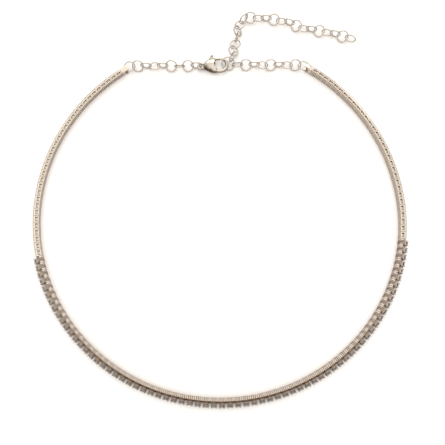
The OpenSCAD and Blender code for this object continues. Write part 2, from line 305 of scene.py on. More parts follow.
def carved(bm, xs, ys, zs, keep, soft=SOFT, painted_shade=0.0):
    """A solid of the cells between the cuts that keep(x, y, z) says are metal, edges softened."""
    known = set(bm.verts)
    cuts = [sorted(set(round(c, 4) for c in cs)) for cs in (xs, ys, zs)]
    mids = [[(a + b) / 2 for a, b in zip(cs, cs[1:])] for cs in cuts]
    full = {(i, j, k) for i, x in enumerate(mids[0]) for j, y in enumerate(mids[1])
            for k, z in enumerate(mids[2]) if keep(x, y, z)}
    corner = {}

    def vert(i, j, k):
        if (i, j, k) not in corner:
            corner[i, j, k] = bm.verts.new((cuts[0][i], cuts[1][j], cuts[2][k]))
        return corner[i, j, k]

    # Each side of a cell, and the corners of the face there
    around = (((1, 0, 0), ((1, 0, 0), (1, 1, 0), (1, 1, 1), (1, 0, 1))),
              ((-1, 0, 0), ((0, 0, 0), (0, 0, 1), (0, 1, 1), (0, 1, 0))),
              ((0, 1, 0), ((0, 1, 0), (0, 1, 1), (1, 1, 1), (1, 1, 0))),
              ((0, -1, 0), ((0, 0, 0), (1, 0, 0), (1, 0, 1), (0, 0, 1))),
              ((0, 0, 1), ((0, 0, 1), (1, 0, 1), (1, 1, 1), (0, 1, 1))),
              ((0, 0, -1), ((0, 0, 0), (0, 1, 0), (1, 1, 0), (1, 0, 0))))
    for cell in full:
        for side, ring in around:
            if tuple(c + s for c, s in zip(cell, side)) not in full:
                bm.faces.new([vert(*(c + r for c, r in zip(cell, at))) for at in ring])
    fresh = [v for v in bm.verts if v not in known]
    lines = [e for e in bm.edges if e.verts[0] not in known]
    bmesh.ops.dissolve_limit(bm, angle_limit=0.01, verts=fresh, edges=lines)
    soften(bm, known, soft)
    shade_new(bm, known, painted_shade)


def block(bm, xs, ys, zs, soft=SOFT, painted_shade=0.0):
    carved(bm, xs, ys, zs, lambda x, y, z: True, soft, painted_shade)


def side_faces(bm, low, high):
    """The faces between two rings of vertices."""
    for i in range(len(low)):
        j = (i + 1) % len(low)
        bm.faces.new((low[i], low[j], high[j], high[i]))


def plate(bm, outline, heights):
    """A flat plate cut to an outline, between two heights."""
    low, high = [[bm.verts.new((x, y, z)) for x, y in outline] for z in heights]
    bm.faces.new(high)
    bm.faces.new(low[::-1])
    side_faces(bm, low, high)


def circle(x, y, radius, sides):
    return [(x + radius * math.cos(t), y + radius * math.sin(t))
            for t in (2 * math.pi * i / sides for i in range(sides))]


def disc(bm, x, heights, radius, sides=20, soft=SOFT, painted_shade=0.0):
    """A round disc or pin that stands upright on the line of the pins."""
    known = set(bm.verts)
    plate(bm, circle(x, 0, radius, sides), heights)
    if soft:
        soften(bm, known, soft)
    shade_new(bm, known, painted_shade)


def leaf(bm, pin, arm, heights, radius, painted_shade):
    """A round leaf on a pin, with the arm that joins it to its own link."""
    low, high = heights
    disc(bm, pin, heights, radius, painted_shade=painted_shade)
    block(bm, arm, (-ARM_HALF, ARM_HALF), (low + INSET, high - INSET), painted_shade=painted_shade)


def fork(bm, pin, arm, painted_shade):
    """Two leaves with the pin between them."""
    for heights in (LEAVES[0], LEAVES[2]):
        leaf(bm, pin, arm, heights, LEAF_R, painted_shade)
    disc(bm, pin, PIN_Z, PIN_R, 12, painted_shade=painted_shade)


def tongue(bm, painted_shade):
    """The leaf that the neighbour's fork holds."""
    leaf(bm, 0, (0.0, ARM_TO), LEAVES[1], TONGUE_R, painted_shade)


def hinge_parts(bm, painted_shade):
    fork(bm, LINK_PITCH, (ARM_TO, LINK_PITCH), painted_shade)
    tongue(bm, painted_shade)


def stock(name, bm, smooth=40.0):
    """The finished link, drawn in millimetres, as an object that the run copies."""
    bmesh.ops.scale(bm, vec=(MM, MM, MM), verts=bm.verts)
    bmesh.ops.recalc_face_normals(bm, faces=bm.faces)
    mesh = bpy.data.meshes.new(name)
    bm.to_mesh(mesh)
    bm.free()
    mesh.shade_smooth()
    mesh.set_sharp_from_angle(angle=math.radians(smooth))
    made = bpy.data.objects.new(name, mesh)
    scene.collection.objects.link(made)
    return made


def new_tree(name, sizes):
    """A tree with geometry in and out, and a named input for each size."""
    tree = bpy.data.node_groups.new(name, "GeometryNodeTree")
    tree.interface.new_socket("Geometry", in_out="INPUT", socket_type="NodeSocketGeometry")
    for label, kind, value in sizes:
        made = tree.interface.new_socket(label, in_out="INPUT", socket_type="NodeSocket" + kind)
        if value is not None:
            made.default_value = value
    tree.interface.new_socket("Geometry", in_out="OUTPUT", socket_type="NodeSocketGeometry")
    return tree, new_node(tree, "NodeGroupInput").outputs


def turned(tree, **angles):
    """The rotation by an angle about each axis named."""
    euler = new_node(tree, "ShaderNodeCombineXYZ", **angles).outputs[0]
    return new_node(tree, "FunctionNodeEulerToRotation", Euler=euler).outputs[0]


def end_in_copies(tree, metal, **settings):
    """Ends a tree in copies on its points, made real and given their metal."""
    copies = new_node(tree, "GeometryNodeInstanceOnPoints", **settings).outputs[0]
    solid = new_node(tree, "GeometryNodeRealizeInstances", Geometry=copies).outputs[0]
    clad = new_node(tree, "GeometryNodeSetMaterial", Geometry=solid, Material=metal).outputs[0]
    new_node(tree, "NodeGroupOutput", Geometry=clad)


def link_run_tree():
    """Copies one link along the pins, each turned to the next pin and leaning as the band does."""
    tree, given = new_tree("link_run", (
        ("Link", "Object", None), ("First link", "Int", 0), ("Count", "Int", 1),
        ("Links in band", "Int", LINKS), ("Lean at the ends", "Float", math.radians(LEAN)),
        ("Half depth", "Float", WALL_AT * MM), ("Metal", "Material", None)))
    number = new_node(tree, "GeometryNodeInputIndex").outputs[0]
    here = new_node(tree, "GeometryNodeInputPosition").outputs[0]
    there = new_node(tree, "GeometryNodeSampleIndex", {"data_type": "FLOAT_VECTOR"},
                     Geometry=given["Geometry"], Value=here,
                     Index=maths(tree, "ADD", number, 1.0)).outputs[0]
    along = new_node(tree, "ShaderNodeVectorMath", {"operation": "SUBTRACT"}, i0=there, i1=here)
    part = new_node(tree, "ShaderNodeSeparateXYZ", Vector=along.outputs[0]).outputs
    heading = maths(tree, "ARCTAN2", part["Y"], part["X"])
    lean = new_node(tree, "ShaderNodeMapRange", {"clamp": False},
                    Value=maths(tree, "ADD", number, 0.5), From_Max=given["Links in band"],
                    To_Min=given["Lean at the ends"],
                    To_Max=maths(tree, "MULTIPLY", given["Lean at the ends"], -1.0)).outputs[0]
    rise = maths(tree, "SINE", maths(tree, "ABSOLUTE", lean))
    lift = maths(tree, "MULTIPLY", rise, given["Half depth"])
    up = new_node(tree, "ShaderNodeCombineXYZ", Z=lift).outputs[0]
    raised = new_node(tree, "GeometryNodeSetPosition", Geometry=given["Geometry"],
                      Offset=up).outputs[0]
    since = maths(tree, "SUBTRACT", number, given["First link"])
    begun = new_node(tree, "FunctionNodeCompare",
                     {"data_type": "FLOAT", "operation": "GREATER_EQUAL"}, i0=since, i1=-0.5)
    going = new_node(tree, "FunctionNodeCompare",
                     {"data_type": "FLOAT", "operation": "LESS_THAN"}, i0=since,
                     i1=given["Count"])
    chosen = new_node(tree, "FunctionNodeBooleanMath", {"operation": "AND"},
                      i0=begun.outputs[0], i1=going.outputs[0]).outputs[0]
    link = new_node(tree, "GeometryNodeObjectInfo", Object=given["Link"]).outputs["Geometry"]
    turn = turned(tree, X=maths(tree, "MULTIPLY", lean, -1.0), Z=heading)
    end_in_copies(tree, given["Metal"], Points=raised, Selection=chosen, Instance=link,
                  Rotation=turn)
    return tree


def plain_mesh(name, base, tree, settings):
    """Runs a tree on a mesh of places and keeps the result as a plain mesh."""
    holder = bpy.data.objects.new(name, base)
    scene.collection.objects.link(holder)
    run = holder.modifiers.new("run", "NODES")
    run.node_group = tree
    for item in tree.interface.items_tree:
        if item.in_out == "INPUT" and item.name in settings:
            run[item.identifier] = settings[item.name]
    graph = bpy.context.evaluated_depsgraph_get()
    done = bpy.data.meshes.new_from_object(holder.evaluated_get(graph))
    holder.modifiers.remove(run)
    holder.data = done
    done.name = name
    return holder


def places_mesh(name, places):
    mesh = bpy.data.meshes.new(name)
    mesh.from_pydata([tuple(c * MM for c in p) for p in places], [], [])
    return mesh


pins = [pin_place(k) for k in range(LINKS + 1)]
run_of_links = link_run_tree()


def band_piece(name, link, first, count, metal, node):
    """Part of the band: the same link at each of its pins."""
    line = places_mesh(name + "_pins", [(x, y, 0.0) for x, y, _ in pins])
    piece = plain_mesh(name, line, run_of_links, {
        "Link": link, "First link": first, "Count": count, "Links in band": LINKS,
        "Lean at the ends": math.radians(LEAN), "Half depth": WALL_AT * MM, "Metal": metal})
    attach(piece, "necklace")
    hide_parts(node)


def drop(*objects):
    for each in objects:
        bpy.data.objects.remove(each)


def between(value, span):
    return span[0] < value < span[1]


def in_groove(x):
    return any(abs(x - g) < GROOVE_HALF for g in RIB_GROOVES)


def groove_shade(co):
    """Ribs stay polished; the grooves between them and the rims' outer edge get painted shade."""
    if between(co.y, OUTER_EDGE):
        return OUTER_EDGE_SHADE
    low = between(co.y, GROOVE_WALL) or any(between(co.z, rim) for rim in GROOVE_RIMS)
    return GROOVE_SHADE if low and in_groove(co.x) else 0.0


def plain_link():
    bm = new_link()
    groove = GROOVE_DEPTH - WALL_AT

    def metal(x, y, z):
        hollow = abs(y) < HOLLOW_Y and between(z, HOLLOW_Z)
        slot = between(x, SLOT_X) and between(y, SLOT_Y) and not between(z, HOLLOW_Z)
        ribbed = y < groove and in_groove(x)
        return not (hollow or slot or ribbed)

    carved(bm, (*LINK_X, *SLOT_X, *GROOVE_CUTS),
           (-WALL_AT, groove, -HOLLOW_Y, *SLOT_Y, HOLLOW_Y, WALL_AT),
           (0.0, *HOLLOW_Z, BAND_HEIGHT), metal, FRAME_SOFT, groove_shade)
    for v in bm.verts:
        rim = abs(v.co.z - MIDDLE_Z) / MIDDLE_Z
        if rim > RIM_SKIN:
            v.co.z += (MIDDLE_Z - v.co.z) * CROWN * (v.co.y / WALL_AT) ** 2
    # Painted shade on the core and the hinge parts inside the link
    block(bm, CORE_X, (-CORE_Y, CORE_Y), CORE_Z, painted_shade=PLAIN_CORE_SHADE)
    hinge_parts(bm, PLAIN_HINGE_SHADE)
    return stock("plain_link", bm)


link_gold = polished_gold("link_gold", GOLD, SHADE_GOLD, roughness=0.2)
pattern = plain_link()
band_piece("plain_band_right", pattern, 0, PLAIN_RIGHT, link_gold,
           "plain_links_right")
band_piece("plain_band_left", pattern, PLAIN_RIGHT + STONE_LINKS, PLAIN_LEFT, link_gold,
           "plain_links_left")
drop(pattern)

# ---- Stone links ----
# The 69 links of the front, of the same gold, hinge in the same way. Each has a ribbed inner
# strip and rims that narrow to a neck, then widen to a collar. The collars hold an open basket
# of four claws, cast in one and soldered on the outer side, for one stone.
RIGHT_RUN = 35
RIMS = ((0.0, RIM_H), (BAND_HEIGHT - RIM_H, BAND_HEIGHT))
STONE_X = LINK_PITCH / 2
STRIP_TO = 0.05
WALL_GROOVE = 0.06
RIM_GROOVE = 0.07
MIDDLE_RIBS = (0.6, 1.7)
NECK = (0.45, 1.85)
NECK_SOFT = 0.05
COLLAR = (0.25, 2.05)
COLLAR_FROM = 0.55
COLLAR_TO = 0.9
COLLAR_SOFT = 0.1
STONE_CORE_TO = 0.3
CLAW_PATH = ((0.47, 0.17), (0.66, 0.72), (0.85, 1.22), (0.965, 1.50), (0.975, 1.74), (0.92, 1.89),
             (0.83, 1.955))  # from the stone's axis, outwards
CLAW_THICK = (0.13, 0.12, 0.11, 0.10, 0.10, 0.095, 0.06)
CLAW_WIDE = (0.18, 0.18, 0.18, 0.18, 0.175, 0.16, 0.12)
GALLERY_IN = 0.49
GALLERY_OUT = 0.61
GALLERY_Y = (1.0, 1.25)

# How much shade is painted on each part of a stone link, which also roughens it. The middle ribs
# get theirs only along the sides of the loop
STRIP_SHADE = 0.08
MIDDLE_RIBS_SHADE = 1.3
NECK_SHADE = 0.88
COLLAR_SHADE = 0.52
STONE_CORE_SHADE = 0.9
STONE_HINGE_SHADE = 0.97
GALLERY_SHADE = 0.65
CLAW_LEAST_SHADE = 0.5
CLAW_FOOT_SHADE = 0.8
CLAW_BRIGHT_FROM = 1.5
CLAW_SHADED_TO = 0.9


def claw_shade(co):
    """Painted shade on the claws: light along the girdle and over it, darker towards their feet."""
    depth = (CLAW_BRIGHT_FROM - co.y) / (CLAW_BRIGHT_FROM - CLAW_SHADED_TO)
    return CLAW_LEAST_SHADE + (CLAW_FOOT_SHADE - CLAW_LEAST_SHADE) * max(0.0, min(1.0, depth))


def claw(bm, angle, sides=10):
    """One claw: an oval wire that leans out, stands along the girdle and is bent over the stone."""
    known = set(bm.verts)
    out = Vector((math.cos(angle), 0, math.sin(angle)))
    across = Vector((-math.sin(angle), 0, math.cos(angle)))
    middle = Vector((STONE_X, 0, MIDDLE_Z))
    path = [middle + out * r + Vector((0, y, 0)) for r, y in CLAW_PATH]
    turns = [2 * math.pi * k / sides for k in range(sides)]
    rings = []
    for i, p in enumerate(path):
        run = (path[min(i + 1, len(path) - 1)] - path[max(i - 1, 0)]).normalized()
        side = run.cross(across)
        rings.append([bm.verts.new(p + side * CLAW_THICK[i] * math.cos(t)
                                   + across * CLAW_WIDE[i] * math.sin(t)) for t in turns])
    for a, b in zip(rings, rings[1:]):
        side_faces(bm, a, b)
    bm.faces.new(rings[0][::-1])
    bm.faces.new(rings[-1])
    shade_new(bm, known, claw_shade)


def stone_link():
    bm = new_link()
    groove = WALL_GROOVE - WALL_AT
    low_groove, high_groove = RIM_GROOVE, BAND_HEIGHT - RIM_GROOVE

    def metal(x, y, z):
        ribbed = in_groove(x) and (y < groove or not between(z, (low_groove, high_groove)))
        return (y < -HOLLOW_Y or not between(z, HOLLOW_Z)) and not ribbed

    # The strip gets a little painted shade all over, and more in its grooves
    carved(bm, (*LINK_X, *GROOVE_CUTS), (-WALL_AT, groove, -HOLLOW_Y, STRIP_TO),
           (0.0, low_groove, *HOLLOW_Z, high_groove, BAND_HEIGHT), metal,
           painted_shade=lambda co: max(STRIP_SHADE, groove_shade(co)))
    # Painted shade on the strip's middle ribs, which shows only along the sides of the loop
    ribs = bm.verts.layers.float.new("middle_ribs_shade")
    for v in bm.verts:
        v[ribs] = MIDDLE_RIBS_SHADE if between(v.co.x, MIDDLE_RIBS) else 0.0
    for rim in RIMS:
        block(bm, NECK, (STRIP_TO, COLLAR_FROM), rim, NECK_SOFT, NECK_SHADE)
        block(bm, COLLAR, (COLLAR_FROM, COLLAR_TO), rim, COLLAR_SOFT, COLLAR_SHADE)
    block(bm, CORE_X, (-CORE_Y, STONE_CORE_TO), CORE_Z, painted_shade=STONE_CORE_SHADE)
    hinge_parts(bm, STONE_HINGE_SHADE)
    for k in range(4):
        claw(bm, math.radians(45 + 90 * k))

    def ring(x, y, z):
        return max(abs(x - STONE_X), abs(z - MIDDLE_Z)) > GALLERY_IN

    steps = (-GALLERY_OUT, -GALLERY_IN, GALLERY_IN, GALLERY_OUT)
    carved(bm, [STONE_X + c for c in steps], GALLERY_Y, [MIDDLE_Z + c for c in steps], ring,
           FRAME_SOFT, GALLERY_SHADE)
    return stock("stone_link", bm)


pattern = stone_link()
band_piece("stone_band_right", pattern, PLAIN_RIGHT, RIGHT_RUN, link_gold,
           "stone_settings_right")
band_piece("stone_band_left", pattern, PLAIN_RIGHT + RIGHT_RUN, STONE_LINKS - RIGHT_RUN, link_gold,
           "stone_settings_left")
drop(pattern)

# ---- Stones ----
# Round brilliants of 1.6 mm, 69 in all, cut with a table, crown and pavilion facets. Each sits
# with its girdle between the four claws and its table outwards.
STONE_R = 0.795
# Each level of the cut: its share of the stone's radius, and how far out it is from the pins
BRILLIANT = {"table": (0.56, 1.880), "star": (0.78, 1.770), "girdle_top": (1.0, 1.645),
             "girdle_low": (1.0, 1.605), "lower": (0.22, 1.060)}
CULET_AT = 0.92
STONE_SHADES = ((0.0, (0.46, 0.42, 0.38)), (1.0, (0.90, 0.89, 0.87)))


def brilliant():
    """One round brilliant, its levels set out in sixteenths of a turn."""
    bm = bmesh.new()

    def point(level, sixteenth):
        share, y = BRILLIANT[level]
        r = share * STONE_R
        t = 2 * math.pi * (sixteenth + 1) / 16
        return bm.verts.new((STONE_X + r * math.cos(t), y, MIDDLE_Z + r * math.sin(t)))

    table = [point("table", 2 * i) for i in range(8)]
    star = [point("star", 2 * i + 1) for i in range(8)]
    top = [point("girdle_top", i) for i in range(16)]
    low = [point("girdle_low", i) for i in range(16)]
    lower = [point("lower", 2 * i + 1) for i in range(8)]
    culet = bm.verts.new((STONE_X, CULET_AT, MIDDLE_Z))
    bm.faces.new(table)
    for i in range(8):
        j = (i + 1) % 8
        a, b, c = 2 * i, 2 * i + 1, (2 * i + 2) % 16
        bm.faces.new((table[i], star[i], table[j]))
        bm.faces.new((star[i], top[a], top[b]))
        bm.faces.new((star[i], top[b], top[c]))
        bm.faces.new((table[j], star[i], top[c], star[j]))
        bm.faces.new((lower[i], low[a], low[b]))
        bm.faces.new((lower[i], low[b], low[c]))
        bm.faces.new((culet, lower[i], low[c], lower[j]))
    side_faces(bm, low, top)
    return stock("brilliant", bm, smooth=1.0)


def clear_stone():
    stone, tree, shader, place = new_material("cut_stone")
    shader.inputs["IOR"].default_value = 2.3
    shader.inputs["Transmission Weight"].default_value = 0.9
    haze = new_node(tree, "ShaderNodeTexNoise", Vector=place, Scale=450.0, Detail=2.0)
    haze = haze.outputs["Fac"]
    tint = shade_ramp(tree, haze, STONE_SHADES)
    tree.links.new(tint, shader.inputs["Base Color"])
    rub = new_node(tree, "ShaderNodeMapRange", Value=haze, To_Min=0.01, To_Max=0.05)
    tree.links.new(rub.outputs["Result"], shader.inputs["Roughness"])
    return stone


pattern = brilliant()
band_piece("set_stones", pattern, PLAIN_RIGHT, STONE_LINKS, clear_stone(), "stones")
drop(pattern)

# ---- End links ----
# A closed gold link at either end of the band. Its rims reach on past the walls with a rounded
# nose and hold an upright post, soldered in, that the last ring of each chain is closed round.
CAP_LENGTH = 3.0
CAP_WALL = 1.5
CAP_WALL_Z = (0.2, 2.0)
CAP_CORE_X = (0.7, 1.4)
CAP_NOSE = 0.6
POST_AT = 2.6
POST_R = 0.2
# How much shade is painted inside an end link: at its rims and half way down
CAP_SHADE = 0.75
CAP_MOST_SHADE = 1.0


def deep(co):
    """Painted shade inside an end link, which also roughens the metal: darkest half way down."""
    return CAP_SHADE + (CAP_MOST_SHADE - CAP_SHADE) * (1 - abs(co.z - MIDDLE_Z) / MIDDLE_Z)


def end_link(name, number, node):
    """The end link at the first or last pin of the band: a fork at the first, a tongue else."""
    bm = new_link()
    first = number == 0
    corner = [(CAP_LENGTH - CAP_NOSE + CAP_NOSE * math.sin(t),
               WALL_AT / 2 + WALL_AT / 2 * math.cos(t))
              for t in (math.radians(d) for d in (0, 30, 60, 90))]
    nose = [(END_GAP, -WALL_AT), *((x, -y) for x, y in corner), *corner[::-1], (END_GAP, WALL_AT)]
    for rim in RIMS:
        known = set(bm.verts)
        plate(bm, nose, rim)
        soften(bm, known, FRAME_SOFT, 2)
        shade_new(bm, known, 0.0)
    for y in (-WALL_AT, WALL_AT - WALL_T):
        block(bm, (END_GAP + INSET, CAP_WALL), (y + INSET, y + WALL_T - INSET), CAP_WALL_Z)
    block(bm, CAP_CORE_X, (-CORE_Y, CORE_Y), CORE_Z, painted_shade=deep)
    disc(bm, POST_AT, CORE_Z, POST_R, 16, 0.0)
    if first:
        fork(bm, 0, (0.0, ARM_TO), deep)
    else:
        tongue(bm, deep)
    piece = stock(name, bm)
    x, y, heading = pins[number]
    lean = math.radians(LEAN * (1 - 2 * number / LINKS))
    place = Matrix.Translation((x * MM, y * MM, math.sin(abs(lean)) * WALL_AT * MM))
    place = place @ Matrix.Rotation(math.radians(heading), 4, "Z") @ Matrix.Rotation(-lean, 4, "X")
    if first:
        place = place @ Matrix.Rotation(math.pi, 4, "Z")
    piece.data.transform(place)
    piece.data.materials.append(link_gold)
    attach(piece, "necklace")
    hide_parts(node)


end_link("end_link_right", 0, "end_cap_right")
end_link("end_link_left", LINKS, "end_cap_left")

# ---- Round chain rings ----
# Rings of round gold wire, each bent, closed through the next and soldered: nine on either side
# of the clasp, a larger one that the clasp hooks into, and the 21 of the free end.
RING_R = 1.9
WIRE_R = 0.25
WIRE_SHARE = 0.965  # the wire's thickness away from the solder, as a share of the whole
SOLDER_BULGE = 0.02
SOLDER_REACH = 0.04  # along the ring, as a share of a turn
RING_STEPS = 48
WIRE_SIDES = 12
RING_SEED = 7
RING_HEIGHT = 1.7
LEFT_END_HEIGHT = 1.5
RIGHT_END_HEIGHT = 1.38
END_RING_REACH = 3.9
HOOK_AT = (0.2, 46.55)  # where the hook has its centre
CLASP_TURN = 5.0
TAIL_X = -6.7
TAIL_REACH = 1.8
# How far each ring is rolled out of lying flat, in the order of the chain
LEFT_ROLLS = (184, 50, 105, 165, 105, 45, 135, 45, 100)
RIGHT_ROLLS = (45, 105, 165, 45, 105, 165, 50, 176)
RIGHT_FROM = (9.67, 46.24)
FIRST_RIGHT = (6.65, 46.56, 5.2, 148.6, 1.51)  # x, y, heading, roll and least height
FIRST_FREE = (4.86, 49.36, 77.0, 122.5, 2.2)
FREE_BENDS = ((5.2, 52.28), (6.6, 58.3), (6.8, 61.6), (8.3, 65.6), (10.6, 67.2), (19.7, 66.4),
              (26.8, 64.6), (30.5, 62.3), (33.4, 61.9), (41.8, 60.0), (48.5, 57.7))
FREE_ROLLS = (30, 165, 105, 45, 165, 90, 30, 165, 105, 45,
              165, 105, 45, 165, 105, 45, 165, 105, 45, 165)
HOOK_RING = (3.23, 46.91, 1.5, -5.2, 34.0)  # x, y, z, heading and roll
HOOK_RING_R = 2.25
HOOK_RING_WIRE_R = 0.21
CHAIN_GOLD = (0.485, 0.44, 0.39)


def ring_place(x, y, heading, roll, low=RING_HEIGHT):
    """A ring's centre in mm, its heading and its roll: it never dips below the table."""
    z = max(low, RING_R * abs(math.sin(math.radians(roll))) + WIRE_R)
    return x, y, z, heading, roll


def beyond(pin, turn=0.0):
    """Where an end link's ring has its centre, past the pin."""
    x, y, heading = pin
    a = math.radians(heading + turn)
    return x + END_RING_REACH * math.cos(a), y + END_RING_REACH * math.sin(a)


def on_clasp(x, y):
    """A place on the table from one drawn on the clasp, whose hook is round 0, 0."""
    a = math.radians(CLASP_TURN)
    return (HOOK_AT[0] + x * math.cos(a) - y * math.sin(a),
            HOOK_AT[1] + x * math.sin(a) + y * math.cos(a))


def straight_run(start, end, rolls, end_ring, end_height):
    """Rings along a line; the one on the end link's post has its own height."""
    last = len(rolls) - 1
    step = [(b - a) / last for a, b in zip(start, end)]
    heading = math.degrees(math.atan2(step[1], step[0]))
    return [ring_place(start[0] + step[0] * i, start[1] + step[1] * i, heading, roll,
                       end_height if i == end_ring else RING_HEIGHT)
            for i, roll in enumerate(rolls)]


def on_bends(length):
    """The place at a length along the bent line of the free end."""
    for k, (a, b) in enumerate(zip(FREE_BENDS, FREE_BENDS[1:])):
        reach = math.dist(a, b)
        if length <= reach or k == len(FREE_BENDS) - 2:
            return [p + (q - p) * length / reach for p, q in zip(a, b)]
        length -= reach


def free_run(ahead=1.5):
    """The rings of the free end: each heads along the line from just behind it to just ahead."""
    whole = sum(math.dist(a, b) for a, b in zip(FREE_BENDS, FREE_BENDS[1:]))
    rings = [ring_place(*FIRST_FREE)]
    for i, roll in enumerate(FREE_ROLLS):
        s = whole * i / (len(FREE_ROLLS) - 1)
        (ax, ay), (bx, by) = on_bends(max(0.0, s - ahead)), on_bends(s + ahead)
        rings.append(ring_place(*on_bends(s), math.degrees(math.atan2(by - ay, bx - ax)), roll))
    return rings


def ring_run_tree():
    """Puts a soldered wire ring at each place, turned by the place's own heading and roll."""
    tree, given = new_tree("ring_run", (
        ("Ring radius", "Float", RING_R * MM), ("Wire radius", "Float", WIRE_R * MM),
        ("Steps round the ring", "Int", RING_STEPS), ("Sides of the wire", "Int", WIRE_SIDES),
        ("Solder bulge", "Float", SOLDER_BULGE), ("Seed", "Int", RING_SEED),
        ("Metal", "Material", None)))
    path = new_node(tree, "GeometryNodeCurvePrimitiveCircle",
                    Resolution=given["Steps round the ring"],
                    Radius=given["Ring radius"]).outputs["Curve"]
    share = new_node(tree, "GeometryNodeSplineParameter").outputs["Factor"]
    off = maths(tree, "ABSOLUTE", maths(tree, "SUBTRACT", share, 0.5))
    near = new_node(tree, "ShaderNodeMapRange", {"interpolation_type": "SMOOTHSTEP"}, Value=off,
                    From_Min=0.0, From_Max=SOLDER_REACH, To_Min=1.0, To_Max=0.0).outputs[0]
    thick = maths(tree, "MULTIPLY_ADD", near, given["Solder bulge"], WIRE_SHARE)
    section = new_node(tree, "GeometryNodeCurvePrimitiveCircle",
                       Resolution=given["Sides of the wire"],
                       Radius=given["Wire radius"]).outputs["Curve"]
    ring = new_node(tree, "GeometryNodeCurveToMesh", Curve=path, Profile_Curve=section,
                    Scale=thick).outputs[0]
    ring = new_node(tree, "GeometryNodeSetShadeSmooth", Geometry=ring).outputs[0]
    heading, roll = [new_node(tree, "GeometryNodeInputNamedAttribute", {"data_type": "FLOAT"},
                              Name=label).outputs[0] for label in ("heading", "roll")]
    seam = new_node(tree, "FunctionNodeRandomValue", {"data_type": "FLOAT"}, i2=0.0,
                    i3=2 * math.pi, Seed=given["Seed"]).outputs[1]
    turn = new_node(tree, "FunctionNodeRotateRotation", {"rotation_space": "LOCAL"},
                    Rotation=turned(tree, X=roll, Z=heading),
                    Rotate_By=turned(tree, Z=seam)).outputs[0]
    end_in_copies(tree, given["Metal"], Points=given["Geometry"], Instance=ring, Rotation=turn)
    return tree


run_of_rings = ring_run_tree()
chain_gold = polished_gold("chain_gold", CHAIN_GOLD, SHADE_GOLD, roughness=0.14)


def ring_piece(name, rings, node, radius=RING_R, wire=WIRE_R):
    """A length of chain: a ring at each place."""
    line = places_mesh(name + "_places", [r[:3] for r in rings])
    for label, column in (("heading", 3), ("roll", 4)):
        turn = line.attributes.new(label, "FLOAT", "POINT")
        turn.data.foreach_set("value", [math.radians(r[column]) for r in rings])
    piece = plain_mesh(name, line, run_of_rings, {
        "Ring radius": radius * MM, "Wire radius": wire * MM, "Steps round the ring": RING_STEPS,
        "Sides of the wire": WIRE_SIDES, "Solder bulge": SOLDER_BULGE, "Seed": RING_SEED,
        "Metal": chain_gold})
    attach(piece, "necklace")
    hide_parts(node)


ring_piece("chain_rings_left",
           straight_run(beyond(pins[-1]), on_clasp(TAIL_X - TAIL_REACH, 0), LEFT_ROLLS, 0,
                        LEFT_END_HEIGHT),
           "chain_left")
ring_piece("chain_rings_right",
           [ring_place(*FIRST_RIGHT)]
           + straight_run(RIGHT_FROM, beyond(pins[0], 180.0), RIGHT_ROLLS, len(RIGHT_ROLLS) - 1,
                          RIGHT_END_HEIGHT),
           "chain_right")
ring_piece("hook_ring", [HOOK_RING], "clasp_ring", HOOK_RING_R, HOOK_RING_WIRE_R)
ring_piece("free_rings", free_run(), "extender_chain")

# ---- Claw clasp ----
# Cast in pale gold in one piece: an eye at the tail, two cheeks and a round hook that tapers to
# its tip. It is polished all over, with soft edges where the cheeks run into the hook.
MID_Z = 1.2
CLASP_T = 2.4
CHEEK_SOFT = 0.55
SLOT_T = 1.0
SLOT_OUTLINE = ((-5.1, -1.3), (0.9, -1.3), (0.9, 4.7), (-5.1, 4.7))
THROUGH = (-1.0, 3.4)  # heights well past the casting, for what is cut right through it
HOOK_R = 2.65
HOOK_BAR = 0.58
HOOK_SHARE = 0.99
HOOK_TAPER = 0.12
HOOK_TIP_SHARE = 0.9
HOOK_TIP = 62.0
HOOK_ROOT = -140.0
CHEEK_OUTLINE = ((-5.8, 0.6), (-5.2, 1.15), (-4.3, 1.9), (-3.4, 2.45), (-1.75, 2.55),
                 (-1.2, 1.2), (-1.0, -1.2), (-1.3, -2.9), (-2.6, -2.75), (-4.2, -1.85),
                 (-5.4, -1.0), (-5.8, -0.6))
CHEEKS_END = -0.9
DOME_AT = (-3.1, -0.2)
DOME_HALF = (2.7, 2.9)
DOME_FALL = 0.55
EYE_R = 1.15
EYE_BAR = 0.37
PIVOT = (-3.1, -0.35)
PIVOT_R = 0.35
PIVOT_Z = (0.05, 2.35)
# Painted dark reflections in the clasp's folds
CLASP_FOLDS = ((-5.1, -1.0, 1.0, 0.8), (-3.6, -2.4, 0.7, 0.8),
               (-3.3, 2.2, 1.1, 0.45))  # x, y, width and how much shade is painted
CLASP_GRAIN = 0.07  # of the grid that the casting is made on
CLASP_ROUNDS = 4  # of running its edges smooth
# How much shade is painted on the clasp's steep sides, and the most it gets anywhere
SIDES_SHADE = 0.7
MOST_SHADE = 0.9
CLASP_GOLD = (0.47, 0.425, 0.36)
# The dark colour of the clasp's painted shade
CLASP_SHADE = (0.06, 0.04, 0.02)


def loose_mesh(name, bm):
    mesh = bpy.data.meshes.new(name)
    bm.to_mesh(mesh)
    bm.free()
    made = bpy.data.objects.new(name, mesh)
    scene.collection.objects.link(made)
    return made


def outline_solid(name, outline, heights, soft=0.0):
    """A plate cut to an outline and rounded over at its edges."""
    bm = bmesh.new()
    plate(bm, outline, heights)
    bmesh.ops.recalc_face_normals(bm, faces=bm.faces)
    if soft:
        edges = [e for e in bm.edges if abs(e.verts[0].co.z - e.verts[1].co.z) < 1e-6]
        bmesh.ops.bevel(bm, geom=edges, offset=soft, segments=3, affect="EDGES", profile=0.5)
    return loose_mesh(name, bm)


def upright(name, at, heights, radius, sides):
    return outline_solid(name, circle(*at, radius, sides), heights)


